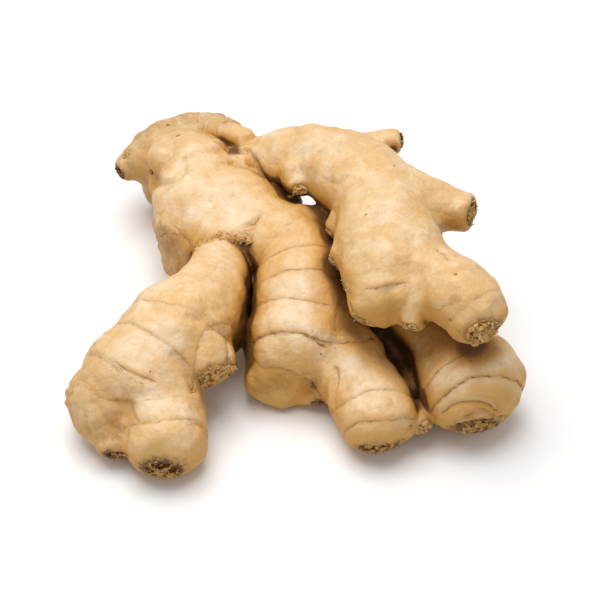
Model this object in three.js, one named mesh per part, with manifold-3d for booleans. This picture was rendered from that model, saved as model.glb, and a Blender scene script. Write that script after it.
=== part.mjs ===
// A ginger rhizome, one piece as it grew: a crown with an old knob behind it, a left, a middle and a
// right finger that reach the table, and an arm that arches over the right finger. Small buds and
// broken stubs stand on the lobes.
// Millimetres, +Z up. The origin is on the table, under the middle of the rhizome's box.
import * as THREE from 'three';
import { mergeVertices } from 'three/addons/utils/BufferGeometryUtils.js';
import Module from 'manifold-3d';

const SKIN_COLOUR = 0xdcb787;
const TABLE = 400; // side of the block that stands for the table

// Flatness is a lobe's height as a share of its width; a dome's length is a share of its radius.
const FINGER = { sides: 18, step: 6, flatness: 0.94, dome: 0.75 };
const STUB = { sides: 12, step: 4, flatness: 1, dome: 0.6 };

// Each lobe is a row of knuckles from its root to its tip: [x, y, z, radius]. A cut, which breaks the
// lobe off, is a place on it and the direction it faces.
const LOBES = [
  {
    ...FINGER, name: 'crown',
    knuckles: [[-46, 57, 28, 13], [-38.5, 44.5, 28, 17], [-34, 32.5, 27, 19], [-23, 26.5, 28, 14.5]],
  },
  {
    ...FINGER, name: 'crown shoulder',
    knuckles: [[-38, 49, 26.5, 14], [-28.5, 51.5, 27, 10.5], [-21, 51, 27, 8.5]],
  },
  {
    ...FINGER, name: 'crown lip', dome: 0.6,
    knuckles: [[-38, 25, 27, 13.5], [-30, 16, 27.5, 12], [-22, 12, 28, 11.2]],
  },
  {
    ...FINGER, name: 'broken stub', dome: 0.5,
    knuckles: [[-35, 32, 24, 17], [-39.5, 23, 21, 15.5], [-43.5, 14.5, 18, 13.2]],
    cuts: [
      { on: [-43.2, 9.5, 26], facing: [-0.66, -0.71, 0.22] },
      { on: [-50.6, 15, 24], facing: [-0.93, -0.3, -0.1] },
    ],
  },
  {
    ...FINGER, name: 'old knob',
    knuckles: [
      [-58, 57, 26, 9], [-52, 62, 28, 12], [-42.5, 67, 30, 10.5], [-33, 67, 32, 8.8],
      [-27, 62, 35.5, 6.8],
    ],
  },
  {
    ...STUB, name: 'knob front bud',
    knuckles: [[-49, 54, 33, 7], [-50, 43.8, 37.6, 6.9]],
  },
  {
    ...STUB, name: 'knob side bud', dome: 0.4,
    knuckles: [[-57, 60.5, 26, 7.5], [-63, 57, 25, 5.5], [-66.5, 55, 24, 4]],
  },
  {
    ...STUB, name: 'knob end bud',
    knuckles: [[-27.5, 62, 35.5, 6], [-23, 56.5, 39, 5], [-20, 52, 41.5, 4]],
  },
  {
    ...FINGER, name: 'crown foot',
    knuckles: [[-46, 61.5, 18, 14.5], [-48.5, 61.5, 9, 12.5]],
  },
  {
    ...FINGER, name: 'middle finger',
    knuckles: [
      [-23, 30.5, 29, 13.6], [-10.5, 14, 28, 14.8], [-0.3, 2, 26, 16.3], [1.5, -13, 23, 17],
      [-0.5, -29.5, 18.5, 18],
    ],
  },
  {
    ...STUB, name: 'middle shoulder',
    knuckles: [[-3, 14, 28.5, 11.5], [5, 17, 30.5, 8], [11.5, 16, 31, 6.5]],
  },
  {
    ...FINGER, name: 'middle outer tip', flatness: 0.86, dome: 0.6,
    knuckles: [[-1, -28.5, 15.5, 17.4], [-3.2, -41, 12, 15.9]],
    cuts: [
      { on: [-3, -45.2, 10], facing: [-0.03, -0.96, 0.22] },
    ],
  },
  {
    ...FINGER, name: 'middle inner tip',
    knuckles: [[0, -10.5, 22.5, 15.5], [9.5, -25, 19.5, 14], [19.5, -40, 15, 13], [27, -59.5, 12, 13.5]],
  },
  {
    ...STUB, name: 'inner tip bud',
    knuckles: [[38, -56, 12, 4.2], [40.2, -58, 11.5, 3.8], [41.2, -60, 10, 3.3]],
  },
  {
    ...FINGER, name: 'left finger',
    knuckles: [
      [-26, 8, 23.5, 10.5], [-29.3, -7, 26, 11.9], [-33, -18, 27, 14.5],
      [-38, -26.5, 26, 16.8], [-46.5, -36, 24, 17.5], [-56.5, -47, 20, 17],
    ],
  },
  {
    ...STUB, name: 'left finger flank',
    knuckles: [[-27.8, -12, 21, 9.5], [-29.4, -27, 20.5, 10.5]],
  },
  {
    ...FINGER, name: 'left outer tip',
    knuckles: [
      [-60, -47.5, 19, 15.5], [-66, -53.5, 15, 13], [-63.2, -59, 11, 11.5],
      [-60.5, -64.5, 8, 7.8],
    ],
  },
  {
    ...FINGER, name: 'left inner tip',
    knuckles: [[-51, -41, 20.5, 15], [-46, -54, 14, 13.8], [-43.2, -68.6, 11, 13]],
  },
  {
    ...STUB, name: 'left stub', dome: 0.4,
    knuckles: [[-36.5, -30, 24.5, 15.5], [-33, -39, 22.8, 12], [-30.8, -43.2, 20.8, 9.4]],
  },
  {
    ...STUB, name: 'gap root',
    knuckles: [[-22, 10, 16.5, 7], [-18.5, -5, 14.8, 5.6], [-19.2, -20, 13.5, 4.4]],
  },
  {
    ...FINGER, name: 'right finger',
    knuckles: [
      [12.5, 13.5, 27, 8.5], [30, -10, 25, 8], [44, -27.5, 22, 9.5], [51.5, -36, 19, 14.5],
      [57, -43, 17.5, 18], [59.5, -48.5, 16.5, 18.5],
    ],
  },
  {
    ...FINGER, name: 'low root',
    knuckles: [[20, 0, 17, 8], [29.5, -17, 10, 8], [36, -32, 8, 7], [40, -43, 8, 6]],
  },
  {
    ...FINGER, name: 'arm', flatness: 0.85,
    knuckles: [
      [-26.5, 41, 29, 12], [-17, 46.5, 34, 10], [-7, 44.5, 39, 11.5], [4.5, 40.5, 42, 13],
      [17.5, 30, 45, 16], [27.6, 13, 47, 16.2], [31.5, -9, 48, 17.5], [30, -24.5, 48, 16],
      [29, -34, 47, 12.5],
    ],
  },
  {
    ...FINGER, name: 'arm tip', flatness: 0.92,
    knuckles: [[34, -18, 49, 13], [45.5, -28.5, 50, 12], [54, -39.5, 51, 12.5], [58, -45.5, 49, 11]],
  },
  {
    ...STUB, name: 'arm right stub', flatness: 0.92, dome: 0.5,
    knuckles: [[32.5, 10, 47, 13.5], [45.5, 8.5, 48, 10.5], [58, 5.5, 48, 7.5]],
  },
  {
    ...STUB, name: 'arm back stub', dome: 0.3,
    knuckles: [[18.5, 39, 44, 8], [27.5, 43.5, 46, 5.5], [36, 44.5, 47, 4.5]],
  },
  {
    ...STUB, name: 'arm bump',
    knuckles: [[4.5, 42.5, 47, 8], [4, 46.5, 51, 3.5]],
  },
  {
    ...STUB, name: 'arm web',
    knuckles: [[-15, 38, 30, 9], [-6, 32, 29, 6.5], [-2.5, 29.5, 28, 5]],
  },
  {
    ...STUB, name: 'arm first bud', dome: 0.5,
    knuckles: [[0, 32.5, 43, 6.8], [0.2, 28, 42, 5.7], [0.2, 25.5, 41.6, 5]],
  },
  {
    ...STUB, name: 'arm second bud',
    knuckles: [[19, 6, 46, 6.5], [14.8, 4, 43.5, 5.2], [13, 3.3, 42.2, 4.2]],
  },
  {
    ...STUB, name: 'arm corner bud', dome: 0.5,
    knuckles: [[27, -8, 47, 12.5], [19, -11.5, 45.5, 8], [13.6, -14, 44, 3.8]],
  },
  {
    ...STUB, name: 'arm end bud',
    knuckles: [[26, -30, 46.5, 11], [24.6, -38, 43.6, 8.6]],
  },
  {
    ...STUB, name: 'arm front bud', dome: 0.7,
    knuckles: [[36.5, -31.5, 49, 7.5], [37, -41.8, 44.2, 5.4]],
  },
];

const wasm = await Module();
wasm.setup();

// One section of a lobe: its middle, its radius and the three directions of its own frame.
function section(centre, tangent, radius) {
  const side = new THREE.Vector3().crossVectors(tangent, new THREE.Vector3(0, 0, 1)).normalize();
  const up = new THREE.Vector3().crossVectors(side, tangent);
  return { centre, radius, side, up };
}

// The sections of a lobe: a smooth curve through its knuckles, with a dome beyond each end.
function sectionsOf({ knuckles, step, dome }) {
  const line = new THREE.CatmullRomCurve3(knuckles.map(([x, y, z]) => new THREE.Vector3(x, y, z)));
  const girth = new THREE.SplineCurve(knuckles.map(([, , , r]) => new THREE.Vector2(r, 0)));
  const rows = Math.max(2, Math.round(line.getLength() / step));
  const domeRows = 4;
  const ends = [];
  for (const t of [0, 1]) {
    const outward = line.getTangent(t).multiplyScalar(t ? 1 : -1);
    const radius = girth.getPoint(t).x;
    for (let i = 1; i <= domeRows; i++) {
      const angle = (i / domeRows) * (Math.PI / 2);
      const centre = line.getPoint(t).addScaledVector(outward, Math.sin(angle) * dome * radius);
      const shrunk = i === domeRows ? 0 : Math.cos(angle) * radius;
      ends.push(section(centre, line.getTangent(t), shrunk));
    }
  }
  const body = Array.from({ length: rows + 1 }, (_, i) => {
    const t = i / rows;
    return section(line.getPoint(t), line.getTangent(t), girth.getPoint(t).x);
  });
  return [...ends.slice(0, domeRows).reverse(), ...body, ...ends.slice(domeRows)];
}

// A lathe of the lobe's radii, with each of its rings then carried to its own section of the lobe.
function lobeGeometry(lobe) {
  const sections = sectionsOf(lobe);
  const profile = sections.map(({ radius }, i) => new THREE.Vector2(radius, i));
  const geometry = new THREE.LatheGeometry(profile, lobe.sides);
  const place = geometry.getAttribute('position');
  for (let i = 0; i < place.count; i++) {
    const { centre, side, up } = sections[Math.round(place.getY(i))];
    const point = centre.clone()
      .addScaledVector(side, place.getX(i))
      .addScaledVector(up, place.getZ(i) * lobe.flatness);
    place.setXYZ(i, point.x, point.y, point.z);
  }
  return geometry;
}

function solidOf(geometry) {
  geometry.deleteAttribute('normal');
  geometry.deleteAttribute('uv');
  const merged = mergeVertices(geometry, 1e-3);
  return new wasm.Manifold(new wasm.Mesh({
    numProp: 3,
    vertProperties: merged.getAttribute('position').array,
    triVerts: new Uint32Array(merged.index.array),
  }));
}

function geometryOf(solid) {
  const { vertProperties, triVerts } = solid.getMesh();
  const geometry = new THREE.BufferGeometry();
  geometry.setAttribute('position', new THREE.BufferAttribute(new Float32Array(vertProperties), 3));
  geometry.setIndex(new THREE.BufferAttribute(new Uint32Array(triVerts), 1));
  geometry.computeVertexNormals();
  return geometry;
}

// A lobe's solid, broken off at each of its cuts.
function lobeSolid(lobe) {
  return (lobe.cuts ?? []).reduce((rest, { on, facing }) => {
    const inward = new THREE.Vector3(...facing).normalize().negate();
    return rest.trimByPlane(inward.toArray(), inward.dot(new THREE.Vector3(...on)));
  }, solidOf(lobeGeometry(lobe)));
}

// The outer skin alone, because lobes that meet twice can shut a tiny void between them.
function outerSkin(solid) {
  const bodies = solidOf(geometryOf(solid)).decompose();
  return bodies.reduce((largest, body) => (body.volume() > largest.volume() ? body : largest));
}

// The lobes grown together, with small flats where the weight rests on the table.
const table = new THREE.BoxGeometry(TABLE, TABLE, TABLE).translate(0, 0, -TABLE / 2);
const grown = LOBES.map(lobeSolid).reduce((whole, lobe) => whole.add(lobe));
const rested = outerSkin(grown.subtract(solidOf(table)));

const skin = new THREE.MeshStandardMaterial({ color: SKIN_COLOUR, roughness: 0.55, metalness: 0 });
const rhizome = new THREE.Mesh(geometryOf(rested), skin);
rhizome.name = 'ginger_root';

const root = new THREE.Group();
root.add(rhizome);

export default root;
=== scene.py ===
"""A fresh ginger rhizome: its skin, rings, buds, scars and fibres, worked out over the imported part."""

import math
from types import SimpleNamespace

import bpy
import numpy as np
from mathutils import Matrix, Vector


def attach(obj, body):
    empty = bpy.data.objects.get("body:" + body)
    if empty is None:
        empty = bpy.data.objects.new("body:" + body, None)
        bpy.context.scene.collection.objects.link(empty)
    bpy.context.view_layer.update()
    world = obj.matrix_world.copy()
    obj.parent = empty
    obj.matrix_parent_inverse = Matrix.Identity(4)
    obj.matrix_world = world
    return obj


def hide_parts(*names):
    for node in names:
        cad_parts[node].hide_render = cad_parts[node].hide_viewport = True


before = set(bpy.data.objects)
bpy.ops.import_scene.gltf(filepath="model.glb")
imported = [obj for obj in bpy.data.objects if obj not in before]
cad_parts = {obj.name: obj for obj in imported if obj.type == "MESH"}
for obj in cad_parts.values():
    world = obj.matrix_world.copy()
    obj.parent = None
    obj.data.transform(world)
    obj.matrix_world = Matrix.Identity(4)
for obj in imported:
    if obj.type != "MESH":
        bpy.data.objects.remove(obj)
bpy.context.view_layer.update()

# One millimetre in the scene's metres. Every length below is in millimetres unless it says otherwise.
MM = 0.001

# The side of the skin's small faces, and the step along a lobe's middle line or a line on the skin.
SKIN_GRID = 0.885
AXIS_STEP = 0.8

# A lobe's shell has a ring of points at every third step of the middle line, and rows that dome its ends.
RING_EVERY = 3
SHELL_SIDES = 40
DOME_ROWS = 7

# Farther off than anything on the rhizome.
FAR = 1e3

# The flats on the skin, broad and small, as (size, seed).
BROAD_FLATS = (11, 61)
SMALL_FLATS = (5.5, 71)


def unit(vectors):
    """Each row divided by its own length."""
    length = np.linalg.norm(vectors, axis=-1, keepdims=True)
    return vectors / np.maximum(length, 1e-9)


def eased(low, high, value):
    """Zero at low, one at high, and a smooth rise between. Low may be the greater of the two."""
    share = np.clip((value - low) / (high - low), 0.0, 1.0)
    return share * share * (3 - 2 * share)


# ---------------------------------------------------------------- lobes

def lobe(knuckles, flat=0.94, dome=0.75, blend=4.0, rings=(), cuts=(), seam=0.4, age=0.1, branch=False):
    """One lobe of the rhizome.

    Knuckles are (x, y, z, radius) from root to tip. Flat is the lobe's height as a share of its width,
    dome the length of its rounded end as a share of its radius, and blend how wide the fillet is where it
    grows out of the lobes before it. A ring is (distance along the middle line, darkness, and the first
    cosine, first sine, second cosine and second sine of the turn round the lobe, which lean and bend it).
    A cut is (a point on it, its outward direction, how uneven it is, how rounded its edge is) and breaks
    the lobe off. Seam is how brown the line is where the lobe meets the ones before it, and age how brown
    its skin. A branch starts a part that fills its own fillets first and is then joined to the rest with
    this lobe's blend.
    """
    rows = np.array([tuple(ring) + (0.0,) * (6 - len(ring)) for ring in rings], float).reshape(-1, 6)
    faces = [dict(on=np.array(on, float), facing=unit(np.array(facing, float)), rough=rough, edge=edge)
             for on, facing, rough, edge in cuts]
    return dict(knuckles=np.array(knuckles, float), flat=flat, dome=dome, blend=blend, rings=rows,
                cuts=faces, seam=seam, age=age, branch=branch)


def bud(knuckles, dome=0.6, blend=2.5, flat=1.0, seam=0.4, age=0.2):
    """A short round lobe with no rings."""
    return lobe(knuckles, flat, dome, blend, (), (), seam, age)


LOBES = {
    "crown": lobe(
        [(-46, 57, 28, 13), (-38.5, 44.5, 28, 17), (-34, 32.5, 27, 19), (-23, 26.5, 28, 14.5)],
        rings=((14, 0.12, 0, 2), (25, 0.1, 1, -1)), age=0.12, branch=True),
    "crown shoulder": lobe(
        [(-38, 49, 26.5, 14), (-28.5, 51.5, 27, 10.5), (-21, 51, 27, 8.5)], blend=5, seam=0.0, age=0.2),
    "crown lip": lobe(
        [(-38, 25, 27, 13.5), (-30, 16, 27.5, 12), (-22, 12, 28, 11.2)], blend=8, dome=0.6, seam=0.0),
    "broken stub": lobe(
        [(-35, 32, 24, 17), (-39.5, 23, 21, 15.5), (-43.5, 14.5, 18, 13.2)], dome=0.5, blend=2,
        cuts=(((-43.2, 9.5, 26), (-0.66, -0.71, 0.22), 0.5, 1.0),
              ((-50.6, 15, 24), (-0.93, -0.3, -0.1), 0.5, 1.0)), seam=0.0),
    "old knob": lobe(
        [(-58, 57, 26, 9), (-52, 62, 28, 12), (-42.5, 67, 30, 10.5), (-33, 67, 32, 8.8),
         (-27, 62, 35.5, 6.8)], blend=2, seam=0.3, age=1.0,
        rings=((9, 0.3, 0, 1), (17, 0.3, 1, 0), (24, 0.4, 0, 1), (31, 0.4))),
    "knob front bud": bud([(-49, 54, 33, 7.5), (-50.5, 43.5, 37.3, 6.7)], blend=2.4, seam=0.2, age=0.4),
    "knob side bud": bud(
        [(-57, 60.5, 26, 7.5), (-63, 57, 25, 5.5), (-66.5, 55, 24, 4)], dome=0.4, seam=0.1, age=0.8),
    "knob end bud": bud(
        [(-27.5, 62, 35.5, 6.0), (-23.0, 56.5, 39, 5.0), (-20.0, 52, 41.5, 4.0)], blend=1.2, seam=0.5,
        age=0.3),
    "crown foot": lobe(
        [(-46, 61.5, 18, 14.5), (-48.5, 61.5, 9, 12.5)], rings=((4, 0.4), (13, 0.5)), age=0.8),
    "middle finger": lobe(
        [(-23, 30.5, 29, 13.6), (-10.5, 14, 28, 14.8), (-0.3, 2, 26, 16.3), (1.5, -13, 23, 17),
         (-0.5, -29.5, 18.5, 18)], blend=6, seam=0.1,
        rings=((29, 0.2, 0, 1), (41.6, 0.6, 0, -0.7, 0.6, 0.1), (50.6, 0.55, 2.2, 0, -0.4, -0.1),
               (61.4, 0.5, -0.5, 0.5, 0, 0.3), (76, 1, -0.6, -0.6, 0.6))),
    "middle shoulder": bud(
        [(-3, 14, 28.5, 11.5), (5, 17, 30.5, 8), (11.5, 16, 31, 6.5)], blend=4, seam=0.0, age=0.4),
    "middle outer tip": lobe(
        [(-1, -28.5, 15.5, 17.4), (-3.2, -41, 12, 15.9)], flat=0.86, dome=0.6, blend=5, seam=0.0,
        cuts=(((-3, -45.2, 10), (-0.03, -0.96, 0.22), 1.2, 4.0),)),
    "middle inner tip": lobe(
        [(0, -10.5, 22.5, 15.5), (9.5, -25, 19.5, 14), (19.5, -40, 15, 13), (27, -59.5, 12, 13.5)], blend=6,
        seam=0.0,
        rings=((39.3, 0.15), (52.3, 0.5, -3.4, 1.9, 0.3, 0.6), (61, 0.55, -2.1, 1.8, -0.8, -0.1),
               (66, 0.8, -1.5, 2.8), (69.5, 0.7, -1.0, 2.4, 0.5))),
    "inner tip bud": bud(
        [(38, -56, 12, 4.2), (40.2, -58, 11.5, 3.8), (41.2, -60, 10, 3.3)], blend=1.0, seam=0.5, age=0.0),
    "left finger": lobe(
        [(-26, 8, 23.5, 10.5), (-29.3, -7, 26, 11.9), (-33, -18, 27, 14.5), (-38, -26.5, 26, 16.8),
         (-46.3, -36, 24, 17.4), (-55.7, -47, 20, 16.8)], blend=0.8, seam=0.8, branch=True,
        rings=((15, 0.12, 1, 0), (28, 0.15, 2, 1), (41.4, 0.4, 5.0, 1.0, -0.4, 0.8),
               (54.5, 0.4, 2.6, -0.3, 0.3, -0.6), (63, 0.9, 1.0, 3.7, -2.0, -1.1))),
    "left finger flank": bud(
        [(-27.8, -12, 21, 9.5), (-29.4, -27, 20.5, 10.5)], blend=5, seam=0.0, age=0.35),
    "left outer tip": lobe(
        [(-59, -47.5, 19, 15.5), (-65, -53.5, 15, 13.4), (-62.8, -59, 11, 11.8), (-60.5, -64.5, 8, 7.8)],
        blend=4, seam=0.2, age=0.4, rings=((13.5, 0.3, -2.5, -2.4, 1.7, -0.8), (19, 0.3))),
    "left inner tip": lobe(
        [(-51, -41, 20.5, 15), (-46.8, -54, 14.8, 14.8), (-44.2, -69, 11.8, 14)], blend=4.5, seam=0.0,
        rings=((20, 0.2, -0.5, 0.6, -0.4, -0.2), (28.1, 0.4, -2.3, 0.3, -1.1, 0.4))),
    "left stub": bud(
        [(-36.5, -30, 24.5, 15.5), (-33, -39, 22.8, 12), (-30.8, -44, 20.8, 9.8)], dome=0.5, blend=1.8,
        seam=0.4, age=0.1),
    # The gap root fills a dark gap between the fingers, and its age of one browns it as painted shade.
    "gap root": bud(
        [(-22, 10, 16.5, 7), (-18.5, -5, 14.8, 5.6), (-19.2, -20, 13.5, 4.4)], blend=1.5, seam=0.0,
        age=1.0),
    "right finger": lobe(
        [(12.5, 13.5, 27, 8.5), (30, -10, 25, 8), (44, -27.5, 22, 9.5), (51.5, -36, 19, 14.5),
         (57, -43, 17.5, 18), (59.5, -48.5, 16.5, 18.5)], blend=3, age=0.3, branch=True,
        rings=((22, 0.3), (38, 0.3, 1, 0), (55, 0.4), (72.8, 0.8, 2.3, 0, 0.6, 1.2),
               (84.6, 0.9, -2.2, 0.6, 0, -0.7), (90.5, 0.75, -1.6, 2.1, -0.1, 0.2),
               (95.5, 0.7, -1.2, 2.0))),
    # The low root fills the dark hole under the arm, where there is only shade, and its age of one browns it
    # as painted shade.
    "low root": lobe(
        [(20, 0, 17, 8), (29.5, -17, 10, 8), (36, -32, 8, 7), (40, -43, 8, 6)], blend=2, seam=0.6, age=1.0,
        rings=((12, 0.5), (24, 0.5))),
    "arm": lobe(
        [(-26.5, 41, 29, 12), (-17, 46.5, 34, 10), (-7, 44.5, 39, 11.5), (4.5, 40.5, 42, 13),
         (17.5, 30, 45, 16), (27.6, 13, 47, 16.2), (31.5, -9, 48, 17.5), (30, -24.5, 48, 16),
         (29, -34, 47, 12.5)], flat=0.85, blend=2.0, seam=0.5, age=0.25, branch=True,
        rings=((14, 0.2, 1, 1), (31, 0.12, 1, 0), (47, 0.2, -1, 2), (62, 0.15, 2, 1), (78, 0.22, -1, 0),
               (98, 0.12, 1, 1), (121.7, 0.6, 1.7, 2.4, -1.4, 1.1))),
    "arm tip": lobe(
        [(34, -18, 49, 13), (45, -28.5, 49.5, 11.8), (53.2, -39.5, 51, 12.2), (57.7, -45.5, 49, 11)],
        flat=0.92, blend=5, seam=0.0, age=0.25, rings=((28, 0.12, -1, 0), (36, 0.2))),
    "arm right stub": bud(
        [(32.5, 10, 47, 13.5), (45.5, 8.5, 48, 10.5), (58, 5.5, 48, 7.5)], flat=0.92, dome=0.5, blend=5,
        seam=0.0),
    "arm back stub": bud(
        [(18.5, 39, 44, 8), (27.5, 43.5, 46, 5.5), (36, 44.5, 47, 4.5)], dome=0.3, blend=4, seam=0.0),
    "arm bump": bud([(4.5, 42.5, 47, 8), (4, 46.5, 51, 3.5)], blend=3, seam=0.2),
    "arm web": bud([(-15, 38, 30, 9), (-6, 32, 29, 6.5), (-2.5, 29.5, 28, 5)], blend=2, seam=0.0, age=1.0),
    "arm first bud": bud(
        [(0, 32.5, 43, 6.8), (0.2, 28, 42, 5.7), (0.2, 25.5, 41.6, 5)], dome=0.5, blend=2.2, seam=0.15,
        age=0.1),
    "arm second bud": bud(
        [(19, 6, 46, 6.5), (14.8, 4, 43.5, 5.2), (13, 3.3, 42.2, 4.2)], dome=0.6, blend=2.0, seam=0.4,
        age=0.35),
    "arm corner bud": bud(
        [(27, -8, 47, 12.5), (19, -11.5, 45.5, 8), (13.6, -14, 44, 3.8)], dome=0.5, blend=7, seam=0.0),
    "arm end bud": bud([(26, -30, 46.5, 11), (23.8, -38.2, 43.4, 8.2)], dome=0.6, blend=3, seam=0.0),
    "arm front bud": bud(
        [(42.5, -29, 52, 8.8), (39, -36.5, 48.5, 6.8), (36.5, -43.4, 43.2, 5)], dome=0.6, blend=2.4,
        seam=0.1, age=0.2),
}

# Lines on the skin, as (how brown, how deep, the points it passes through).
FOLDS = {
    "neck ledge": (0.5, 0.4, [(-58, 51, 20), (-56.5, 42, 17), (-54, 31, 22)]),
    "left ridge line": (0.15, 0.3, [(-41.5, 17.5, 36.5), (-41.5, 16, 35), (-40.5, 14, 33), (-39, 12, 30.5)]),
    "right ridge line": (0.15, 0.3, [(-33, 15.5, 36.5), (-34, 14, 34), (-34.5, 12.5, 31.5), (-36, 11, 29)]),
    "stub lip": (0.9, 0.2, [(-51, 14.7, 27), (-47.2, 14.1, 30), (-41.9, 9.8, 31.5), (-36.3, 4.6, 31.5)]),
    "stub corner": (0.5, 0.0, [(-47.2, 14.1, 30), (-47, 13, 24), (-47.2, 12.1, 16)]),
    "fringe lip": (0.4, 0.3, [(-37.5, 4, 33), (-33.5, 4.2, 36), (-30.5, 5, 37), (-27.5, 6, 37.5),
                              (-24, 6, 37.5), (-20, 5.5, 37.5), (-17.5, 5, 37.5)]),
    "arm root": (0.45, 0.9, [(-18, 43, 43), (-16.5, 39.5, 43), (-15, 36.5, 41.5), (-13, 33.5, 40),
                             (-10.5, 31, 39)]),
    "ring four on": (0.9, 0.5, [(5.5, -39, 31), (9, -39, 29), (14, -38.5, 28), (18, -38, 28), (23, -36, 27),
                                (25, -33.5, 25)]),
    "snapped edge": (0.6, 0.4, [(-16.5, -38.5, 20), (-14.5, -41, 21), (-12.5, -43.5, 20.5), (-8, -44.5, 22),
                                (-2, -45, 20.5), (2, -45.5, 17.5), (4.5, -45.5, 14.5), (6, -45.5, 11.5),
                                (8, -47.5, 9.5)]),
    "finger crease": (0.6, 1.2, [(11.5, -55.5, 16), (12, -52.5, 18.5), (12, -49.5, 21.5), (12, -46.5, 23)]),
    "right tip arc": (0.9, 1.0, [(54.5, -60, 6.5), (56.5, -62.5, 12), (61, -62.5, 14), (65, -59, 8)]),
    "crown corner fold": (0.9, 0.6, [(-19, 8, 39), (-16.5, 9, 40), (-15, 10.5, 41.5)]),
    "shoulder fold": (0.1, 0.4, [(-25, 26, 43.5), (-21.5, 25, 43.5), (-17, 25, 43), (-13.5, 27, 42)]),
    "stub crack": (0.7, 0.4, [(-24.5, -40, 29.5), (-24.8, -42.5, 28), (-24.5, -45, 26.5)]),
    "inner tip fold": (0.5, 0.4, [(-55, -62.5, 22), (-53.5, -64.5, 20.5), (-51.5, -68.5, 21),
                                  (-47.5, -70, 22.5)]),
    "inner tip side": (0.5, 0.3, [(-37.5, -70, 21), (-34.5, -67.5, 19), (-32, -66, 14), (-31.5, -67, 11)]),
    "outer tip fold": (0.35, 0.3, [(-68.5, -62, 23.5), (-67, -62, 24), (-64.5, -64, 21.5), (-63, -64.5, 17.5),
                                  (-60, -64, 13.5)]),
    "outer tip edge": (0.4, 0.4, [(-71, -63, 21), (-70, -65, 18.5), (-69.5, -66, 14.5)]),
    "right tip fold": (0.9, 1.0, [(51, -60, 7.5), (54.5, -63, 15), (60.5, -63, 17), (66, -60, 11.5)]),
    "arm tip crease": (0.7, 0.6, [(46.5, -26, 61), (47.5, -27.5, 61), (48.5, -31.5, 62)]),
    "arm stub crease": (0.9, 0.6, [(46.5, -7, 56), (48, -7, 53.5), (50, -5, 49)]),
    "arm stub line": (0.4, 0.3, [(45.5, -2.5, 57), (49, -0.5, 53.5), (52.5, -0.5, 51.5)]),
    "arm first fold": (0.3, 0.3, [(7.5, 19, 52), (11, 14.5, 54), (13.5, 12, 56.5), (16, 12.5, 58.5)]),
    "arm tip line": (0.4, 0.2, [(43, -46, 53), (45, -48.5, 54), (47, -49, 56)]),
    "left finger ledge": (0.2, 0.3, [(-28, -10, 39), (-29, -15, 39.5), (-31.5, -19.5, 40)]),
    # The nub crease's full brown is painted shadow under the knob's end bud.
    "nub crease": (1.0, 1.2, [(-30, 50.5, 42), (-27.5, 49.5, 39.5), (-23, 46.5, 40.5), (-19, 45, 42.5)]),
    "knob neck": (0.15, 0.2, [(-34.5, 43.5, 44.5), (-39.5, 41.5, 44.5), (-42.5, 38, 44), (-43, 33, 43.5),
                             (-45.5, 30.5, 42), (-50, 32, 38)]),
    "stub boundary": (0.7, 0.5, [(-28.5, -38, 34.5), (-26.5, -37.5, 31.5), (-24, -37, 27.5)]),
    "outer tip ring": (0.45, 0.4, [(-71.5, -43, 27), (-68.5, -47.5, 31.5), (-64.5, -51.5, 33.5),
                                  (-62, -53.5, 33), (-60, -55.5, 32)]),
    "right tip far fold": (0.7, 0.7, [(48, -62, 19), (51.5, -62.5, 23.5), (56, -62.5, 25), (62.5, -62, 23),
                                      (66, -61.5, 19)]),
}

# Broad grooves between swells, as (depth, half width, the points they pass through).
VALLEYS = [
    (1.7, 1.8, [(-28.5, 45, 42), (-34.5, 43.5, 44.5), (-39.5, 41.5, 44.5), (-42.5, 38, 44), (-43, 33, 43.5),
                (-45.5, 30.5, 42), (-50, 32, 38), (-55.5, 40, 30)]),
    (1.4, 1.6, [(-56.5, 43, 37), (-54.5, 41.5, 33.5), (-51, 36, 36)]),
    (1.2, 1.6, [(-22.5, 3, 35.5), (-18.5, 3.5, 35), (-17.5, 5.5, 37.5), (-16, 8.5, 39.5), (-14.5, 12, 41)]),
    (1.2, 1.8, [(-37, -37.5, 39.5), (-33, -37, 37.5), (-29.5, -38, 35.5), (-26.5, -37.5, 31.5),
                (-24, -37, 27.5)]),
    (1.5, 2.0, [(-16.5, 39.5, 43), (-15, 36.5, 41.5), (-13, 33.5, 40)]),
    (1.4, 1.6, [(-42, -49.5, 33), (-40.5, -50.5, 32), (-39, -51, 30.5), (-37, -52.5, 26.5),
                (-36, -55.5, 23)]),
    (1.7, 2.0, [(29.5, -39.5, 54), (31, -43, 48), (31.5, -44, 43)]),
    (1.1, 1.1, [(50.5, -60, 9), (53.5, -62.5, 17), (60.5, -63, 20), (67, -60, 14)]),
    (0.6, 1.8, [(-57.5, -60.5, 25), (-55, -63.5, 21), (-53.5, -68, 16), (-53, -71, 11)]),
]


def oval_scar(middle, wide, high, dark, rough):
    """A crusted oval scar: its middle, half its width and height, how dark it is and how rough."""
    return dict(middle=middle, wide=wide, high=high, dark=dark, rough=rough)


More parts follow.
